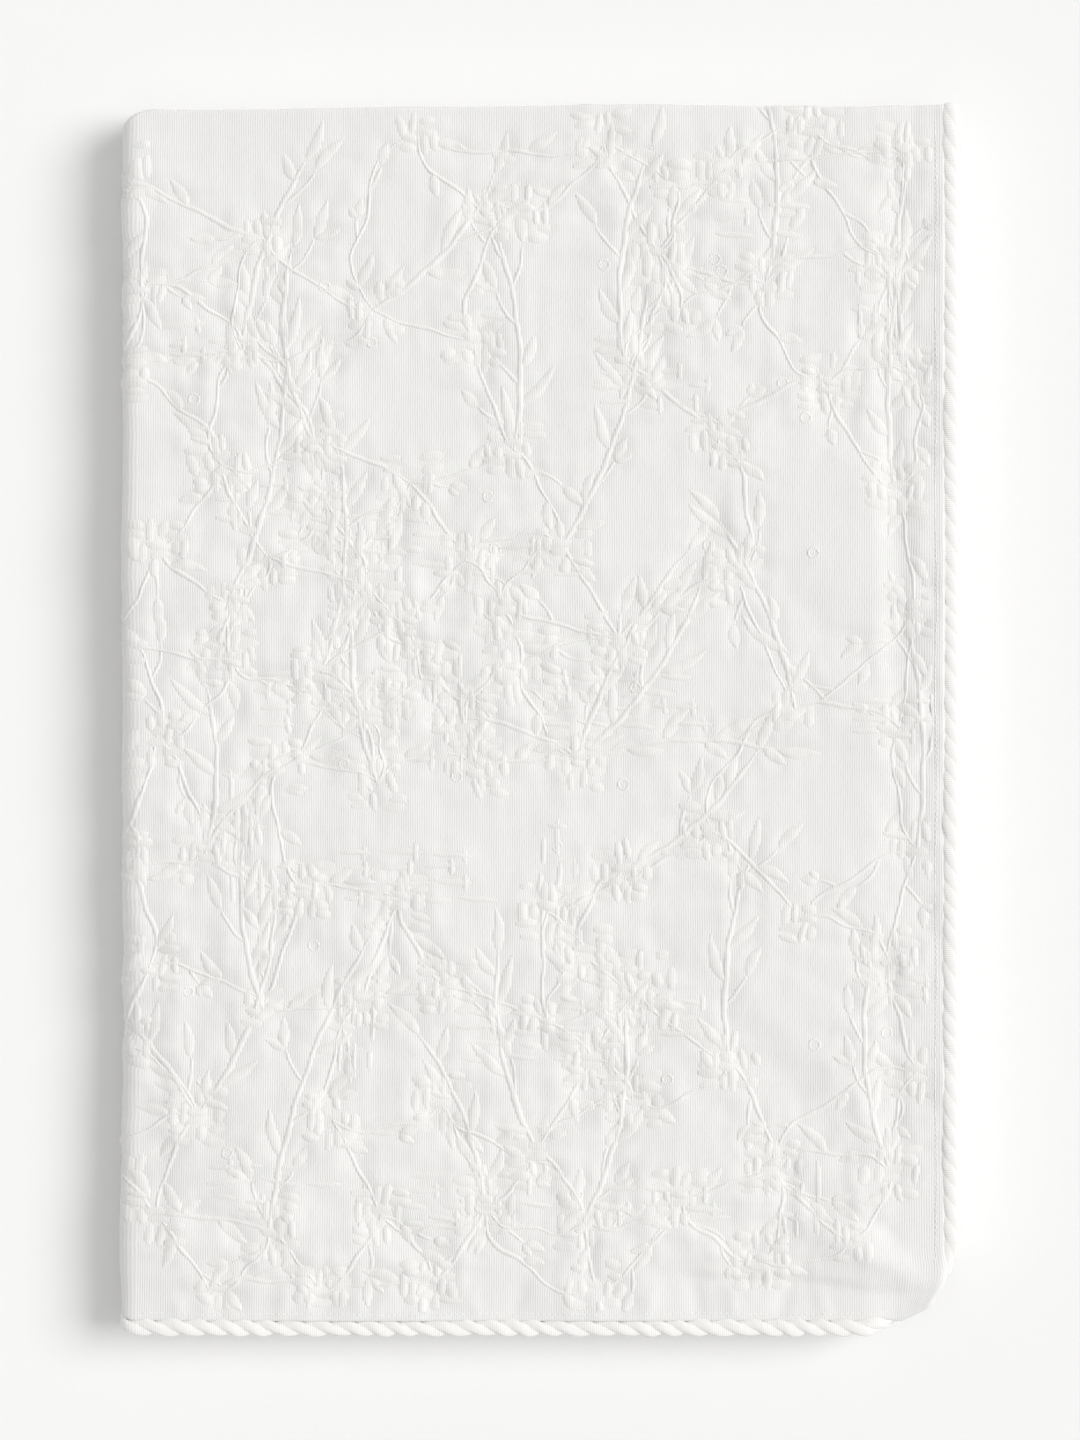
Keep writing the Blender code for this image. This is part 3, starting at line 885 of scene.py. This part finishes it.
def cells_of(rows, columns, keep, there):
    """Faces between these rows and columns, taking in the finer points on their edges."""
    faces = []
    for a, b in zip(rows, rows[1:]):
        for c, d in zip(columns, columns[1:]):
            if not keep(a, c):
                continue
            if b - a == 1 and d - c == 1:
                faces.append([(a, c), (a, d), (b, d), (b, c)])
                continue
            face = [(a, j) for j in range(c, d) if there[a, j]]
            face += [(i, d) for i in range(a, b) if there[i, d]]
            face += [(b, j) for j in range(d, c, -1) if there[b, j]]
            face += [(i, c) for i in range(b, a, -1) if there[i, c]]
            faces.append(face)
    return faces


def make_sheet(field, material):
    """The whole sheet as one closed skin, fine on the top layer and its folds."""
    u_stops = fold_stops(U_ENDS, (0.003, 0.0085, 0.0175, 0.0264), 8)
    v_stops = fold_stops(V_ENDS, (0.003, 0.009, 0.016, 0.025, 0.0347), 6)
    us, u_coarse, u_medium = split_rows(u_stops, U_ENDS[1])
    vs, v_coarse, v_medium = split_rows(v_stops, V_ENDS[1])
    dense_u = int(np.searchsorted(us, U_ENDS[1] - 1e-9))
    dense_v = int(np.searchsorted(vs, V_ENDS[1] - 1e-9))
    all_u = np.arange(len(us))
    all_v = np.arange(len(vs))
    faces, masks = [], []
    for inner_u, inner_v in ((all_u, all_v), (u_medium, v_medium)):
        there = np.zeros((len(us), len(vs)), bool)
        there[np.ix_(u_coarse, v_coarse)] = True
        part_u = inner_u[inner_u <= dense_u]
        part_v = inner_v[inner_v <= dense_v]
        there[np.ix_(part_u, part_v)] = True
        side = cells_of(part_u, part_v, lambda a, c: True, there)
        side += cells_of(
            u_coarse, v_coarse, lambda a, c: a >= dense_u or c >= dense_v, there,
        )
        faces.append(side)
        masks.append(there)

    index = []
    count = 0
    for there in masks:
        number = np.full(there.shape, -1)
        number[there] = np.arange(there.sum()) + count
        count += int(there.sum())
        index.append(number)
    all_faces = [[index[0][p] for p in face] for face in faces[0]]
    all_faces += [[index[1][p] for p in face[::-1]] for face in faces[1]]

    top_u, top_v = len(us) - 1, len(vs) - 1
    around = [(0, j) for j in range(top_v)] + [(i, top_v) for i in range(top_u)]
    around += [(top_u, j) for j in range(top_v, 0, -1)] + [(i, 0) for i in range(top_u, 0, -1)]
    shared = [k for k, p in enumerate(around) if masks[0][p] and masks[1][p]]
    around.append(around[0])
    for a, b in zip(shared, shared[1:] + [len(around) - 1]):
        face_side = [index[0][around[k]] for k in range(a, b + 1) if masks[0][around[k]]]
        back_side = [index[1][around[k]] for k in range(a, b + 1) if masks[1][around[k]]]
        all_faces.append(face_side[::-1] + back_side)

    points, uvs = [], []
    for there, half in zip(masks, (CLOTH / 2, -CLOTH / 2)):
        i, j = np.nonzero(there)
        flat_u, flat_v = us[i], vs[j]
        u, v = reach_corners(flat_u, flat_v)
        points.append(raised(u, v, half + ground(field, u, v)))
        uvs.append(np.stack([flat_u, flat_v], axis=1))
    return new_mesh("bedspread_cloth", np.concatenate(points), all_faces, material, np.concatenate(uvs))


def make_patches(name, patches, field, material, low=0.0012):
    """The raised patches of one kind, laid on the top layer's ground, low or more inside its seams."""
    places = [(RIGHT_EDGE - x, y - FRONT_EDGE, height, True) for x, y, height in patches]
    fold = [(u, v, h) for u, v, h, _ in places if u.min() > U_ENDS[0] - 0.006]
    fold_top = U_ENDS[0] + FOLD_BARE_TOP * FOLD_ACROSS
    fold_end = U_ENDS[0] + FOLD_BARE_END * FOLD_ACROSS
    points, uvs, faces = [], [], []
    count = 0
    for u, v, height, on_top in places + [(u, v, h, False) for u, v, h in fold]:
        inside = (np.minimum(u - SIDE_SEAM, v - FRONT_SEAM) > low) & (u < fold_end) & (v < V_ENDS[1])
        if not on_top:
            inside &= u > fold_top
        keep = inside.all(axis=1)
        if keep.sum() < 3:
            continue
        u, v, height = u[keep], v[keep], height[keep]
        rows, columns = u.shape
        if on_top:
            height = height + ground(field, u, v)
        else:
            u = u + U_ENDS[4] - U_ENDS[0]
            v = (v + 0.29) % V_ENDS[0]
            if np.ptp(v) > 0.1:
                continue
        where = raised(u, v, CLOTH / 2 + height)
        points.append(where.reshape(-1, 3))
        uvs.append(np.stack([u.ravel(), v.ravel()], axis=1))
        number = count + np.arange(rows * columns).reshape(rows, columns)
        quads = np.stack(
            [number[:-1, :-1], number[:-1, 1:], number[1:, 1:], number[1:, :-1]], axis=-1,
        )
        faces += list(quads.reshape(-1, 4))
        count += rows * columns
    return new_mesh(name, np.concatenate(points), faces, material, np.concatenate(uvs))


def make_cord(name, along_v, far_edge, strands, lead, material):
    """A twisted cord along one edge, fine and proud where it lies on top, plain below."""
    start = CORD_START_V if along_v else CORD_START_U
    ends = V_ENDS if along_v else U_ENDS
    total = ends[-1]
    top_end = -1.0 if far_edge else ends[0]
    fine = np.arange(start, max(top_end, start), 0.0014)
    coarse = np.arange(max(top_end, start), total - start, 0.0036)
    turning = [
        np.linspace(ends[k], ends[k + 1], 9) for k in (0, 2, 4)
    ]
    rows = np.unique(np.round(np.concatenate([fine, coarse, *turning, [total - start]]), 7))
    sides = 10
    turns = 2 * math.pi * np.arange(sides) / sides
    place, turn = np.meshgrid(rows, turns, indexing="ij")
    proud = np.clip((top_end - place) / 0.014, 0, 1)
    from_tip = np.minimum(place - rows[0], rows[-1] - place)
    size = CORD_TIP + (1 - CORD_TIP) * np.clip(from_tip / CORD_TAPER, 0, 1)
    wander = 1 + 0.05 * np.sin(place * 171) + 0.04 * np.sin(place * 397 + 1)
    middle = CORD_GAP + CORD_HALF_WIDTH * (1 + CORD_SWELL)
    half_width = CORD_HALF_WIDTH * (1 + CORD_SWELL * 0.8) * size * wander
    half_height = (CORD_HALF_HEIGHT + CORD_PROUD * proud) * size
    centre = 0.34 if strands == 2 else 0.24
    radius = 1 - centre
    tuck = 0 if far_edge else 1 - smooth_step(place - start, 0, TUCK_LENGTH)
    points, uvs, faces = [], [], []
    for k in range(strands):
        phase = 2 * math.pi * (place / lead + k / strands) + 0.35 * np.sin(place * 83)
        out = middle - TUCK_IN * tuck
        out = out + half_width * (centre * np.cos(phase) + radius * np.cos(turn))
        offset = CORD_PROUD * proud - TUCK_DOWN * tuck
        offset = offset + half_height * (centre * np.sin(phase) + radius * np.sin(turn))
        if along_v:
            u = WIDTH + out if far_edge else -out
            where = raised(u, place, offset)
        else:
            v = LENGTH + out if far_edge else -out
            where = raised(place, v, offset)
        where[..., 2] = np.maximum(where[..., 2], 0)
        base = k * len(rows) * sides
        number = base + np.arange(len(rows) * sides).reshape(len(rows), sides)
        after = np.roll(number, -1, axis=1)
        quads = np.stack([number[:-1], after[:-1], after[1:], number[1:]], axis=-1)
        faces += list(quads.reshape(-1, 4))
        faces.append(number[0][::-1])
        faces.append(number[-1])
        points.append(where.reshape(-1, 3))
        uvs.append(np.stack([place.ravel(), turn.ravel() * 0.0015], axis=1))
    return new_mesh(name, np.concatenate(points), faces, material, np.concatenate(uvs))


def make_stitches(field, material):
    """The row of stitches beside each of the two cords on top."""
    chance = np.random.default_rng(3)
    patches = []
    for along_x in (False, True):
        start = 0.026 if along_x else 0.030
        end = U_ENDS[0] - 0.004 if along_x else V_ENDS[0] - 0.004
        seam = FRONT_SEAM if along_x else SIDE_SEAM
        for place in np.arange(start, end, 0.0031):
            inside = seam + 0.0004 * math.sin(place * 60) + chance.normal(0, 0.00008)
            if along_x:
                patches.append(bar(RIGHT_EDGE - place, FRONT_EDGE + inside, 0.0026, 0.0009, 0, 0.0004))
            else:
                patches.append(bar(RIGHT_EDGE - inside, FRONT_EDGE + place, 0.0026, 0.0009, 90, 0.0004))
    return make_patches("seam_stitches", patches, field, material, -0.002)


# Materials.


def node(tree, kind, **inputs):
    made = tree.nodes.new(kind)
    for name, value in inputs.items():
        made.inputs[name.replace("_", " ")].default_value = value
    return made


def cotton(name, colour, ribs, rib_depth, noise_depth):
    """White cotton. ribs is the pitch of the ribs across u, in metres."""
    material = bpy.data.materials.new(name)
    material.use_nodes = True
    tree = material.node_tree
    shader = tree.nodes["Principled BSDF"]
    shader.inputs["Roughness"].default_value = 0.86
    shader.inputs["Sheen Weight"].default_value = 0.25
    shader.inputs["Sheen Roughness"].default_value = 0.5
    shader.inputs["Specular IOR Level"].default_value = 0.2
    place = tree.nodes.new("ShaderNodeUVMap")
    place.uv_map = "cloth"

    # Ribs that run along v, a little uneven in width.
    wander = node(tree, "ShaderNodeTexNoise", Scale=60.0, Detail=2.0)
    tree.links.new(place.outputs["UV"], wander.inputs["Vector"])
    parts = tree.nodes.new("ShaderNodeSeparateXYZ")
    tree.links.new(place.outputs["UV"], parts.inputs["Vector"])
    turns = tree.nodes.new("ShaderNodeMath")
    turns.operation = "MULTIPLY_ADD"
    turns.inputs[1].default_value = 2 * math.pi / ribs
    tree.links.new(parts.outputs["X"], turns.inputs[0])
    sway = tree.nodes.new("ShaderNodeMath")
    sway.operation = "MULTIPLY"
    sway.inputs[1].default_value = 5.0
    tree.links.new(wander.outputs["Fac"], sway.inputs[0])
    tree.links.new(sway.outputs["Value"], turns.inputs[2])
    wave = tree.nodes.new("ShaderNodeMath")
    wave.operation = "SINE"
    tree.links.new(turns.outputs["Value"], wave.inputs[0])

    # Threads across the ribs, and slubs along them.
    stretch = tree.nodes.new("ShaderNodeMapping")
    stretch.inputs["Scale"].default_value = (1 / ribs, 0.25 / ribs, 1.0)
    tree.links.new(place.outputs["UV"], stretch.inputs["Vector"])
    slub = node(tree, "ShaderNodeTexNoise", Scale=1.0, Detail=3.0, Roughness=0.6)
    tree.links.new(stretch.outputs["Vector"], slub.inputs["Vector"])

    uneven = tree.nodes.new("ShaderNodeMath")
    uneven.operation = "MULTIPLY"
    tree.links.new(wave.outputs["Value"], uneven.inputs[0])
    strength = tree.nodes.new("ShaderNodeMapRange")
    strength.inputs["From Min"].default_value = 0.30
    strength.inputs["From Max"].default_value = 0.65
    strength.inputs["To Min"].default_value = 0.35
    strength.inputs["To Max"].default_value = 1.25
    tree.links.new(slub.outputs["Fac"], strength.inputs["Value"])
    tree.links.new(strength.outputs["Result"], uneven.inputs[1])
    height = tree.nodes.new("ShaderNodeMath")
    height.operation = "MULTIPLY_ADD"
    height.inputs[1].default_value = noise_depth / rib_depth
    tree.links.new(slub.outputs["Fac"], height.inputs[0])
    tree.links.new(uneven.outputs["Value"], height.inputs[2])
    bump = tree.nodes.new("ShaderNodeBump")
    bump.inputs["Strength"].default_value = 1.0
    bump.inputs["Distance"].default_value = rib_depth
    tree.links.new(height.outputs["Value"], bump.inputs["Height"])
    tree.links.new(bump.outputs["Normal"], shader.inputs["Normal"])

    # Painted shade: the colour follows the height of the bump, so the grooves between the ribs are
    # painted a little darker than the ribs. The slubs add some uneven tone of the cotton itself.
    shade = tree.nodes.new("ShaderNodeMapRange")
    shade.inputs["From Min"].default_value = -1.2
    shade.inputs["From Max"].default_value = 1.6
    tree.links.new(height.outputs["Value"], shade.inputs["Value"])
    tint = tree.nodes.new("ShaderNodeMix")
    tint.data_type = "RGBA"
    tint.inputs[6].default_value = (*(0.97 * c for c in colour), 1)
    tint.inputs[7].default_value = (*colour, 1)
    tree.links.new(shade.outputs["Result"], tint.inputs["Factor"])
    tree.links.new(tint.outputs[2], shader.inputs["Base Color"])
    return material


def make_floor():
    mesh = bpy.data.meshes.new("floor")
    reach = 60.0
    z = -0.0004
    corners = [(-reach, -reach, z), (reach, -reach, z), (reach, reach, z), (-reach, reach, z)]
    mesh.from_pydata(corners, [], [(0, 1, 2, 3)])
    material = bpy.data.materials.new("pale_floor")
    material.use_nodes = True
    shader = material.node_tree.nodes["Principled BSDF"]
    shader.inputs["Base Color"].default_value = (0.90, 0.90, 0.90, 1)
    shader.inputs["Roughness"].default_value = 1.0
    shader.inputs["Specular IOR Level"].default_value = 0.0
    mesh.materials.append(material)
    floor = bpy.data.objects.new("floor", mesh)
    bpy.context.scene.collection.objects.link(floor)


def sun(name, energy, spread, turn):
    lamp = bpy.data.lights.new(name, "SUN")
    lamp.energy = energy
    lamp.angle = math.radians(spread)
    lamp.color = (1.0, 0.996, 0.988)
    obj = bpy.data.objects.new(name, lamp)
    obj.rotation_euler = [math.radians(angle) for angle in turn]
    bpy.context.scene.collection.objects.link(obj)


def make_light():
    """A soft key from the right, a wide light from above, and a pale room."""
    world = bpy.data.worlds.new("studio")
    bpy.context.scene.world = world
    world.use_nodes = True
    tree = world.node_tree
    sky = tree.nodes["Background"]
    sky.inputs["Color"].default_value = (1.0, 0.998, 0.99, 1)
    # A bright band at the horizon, so that the floor has no edge, and a dimmer room above it.
    direction = tree.nodes.new("ShaderNodeTexCoord")
    parts = tree.nodes.new("ShaderNodeSeparateXYZ")
    tree.links.new(direction.outputs["Generated"], parts.inputs["Vector"])
    room = tree.nodes.new("ShaderNodeMapRange")
    room.interpolation_type = "SMOOTHSTEP"
    room.inputs["From Min"].default_value = 0.14
    room.inputs["From Max"].default_value = 0.38
    room.inputs["To Min"].default_value = 0.95
    room.inputs["To Max"].default_value = 0.37
    tree.links.new(parts.outputs["Z"], room.inputs["Value"])
    tree.links.new(room.outputs["Result"], sky.inputs["Strength"])
    sun("key", 1.98, 34, (-9, 43, 0))
    sun("overhead", 0.56, 70, (4, 2, 0))


def make_camera():
    """Straight above, with the whole photo frame 777.6 mm high at the top layer."""
    height = 2.2
    data = bpy.data.cameras.new("camera")
    data.sensor_width = 36.0
    data.lens = 36.0 * height / 0.7776
    data.clip_start = 0.05
    data.clip_end = 20
    camera = bpy.data.objects.new("camera", data)
    camera.location = (0, 0, 4 * PACK + height)
    bpy.context.scene.collection.objects.link(camera)
    bpy.context.scene.camera = camera


def main():
    cloth_look = cotton("ribbed_cotton", (0.826, 0.822, 0.812), RIB_PITCH, 0.00007, 0.00009)
    float_look = cotton("raised_cotton", (0.824, 0.819, 0.806), RIB_PITCH, 0.00006, 0.00010)
    cord_look = cotton("corded_cotton", (0.895, 0.888, 0.874), 0.0011, 0.00006, 0.00008)
    thread_look = cotton("seam_thread", (0.87, 0.865, 0.855), 0.0005, 0.00004, 0.00006)

    groups = weave_patches()
    field = make_field(groups)
    cloth = make_sheet(field, cloth_look)
    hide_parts("cloth")
    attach(cloth, "root")

    extras = []
    for name, patches in groups.items():
        piece = make_patches(name, patches, field, float_look)
        extras.append(piece)
    stitches = make_stitches(field, thread_look)
    extras.append(stitches)

    # name, node, along v, far edge, strands, lead
    cords = (
        ("cord_side_upper", "side_cord_upper", True, False, 3, 0.0345),
        ("cord_side_lower", "side_cord_lower", True, True, 3, 0.0345),
        ("cord_end_upper", "end_cord_upper", False, False, 2, 0.0260),
        ("cord_end_lower", "end_cord_lower", False, True, 2, 0.0260),
    )
    for name, solid, along_v, far_edge, strands, lead in cords:
        piece = make_cord(name, along_v, far_edge, strands, lead, cord_look)
        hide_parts(solid)
        extras.append(piece)
    for piece in extras:
        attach(piece, "root")

    make_floor()
    make_light()
    make_camera()
    bpy.context.scene.view_settings.view_transform = "Standard"


main()
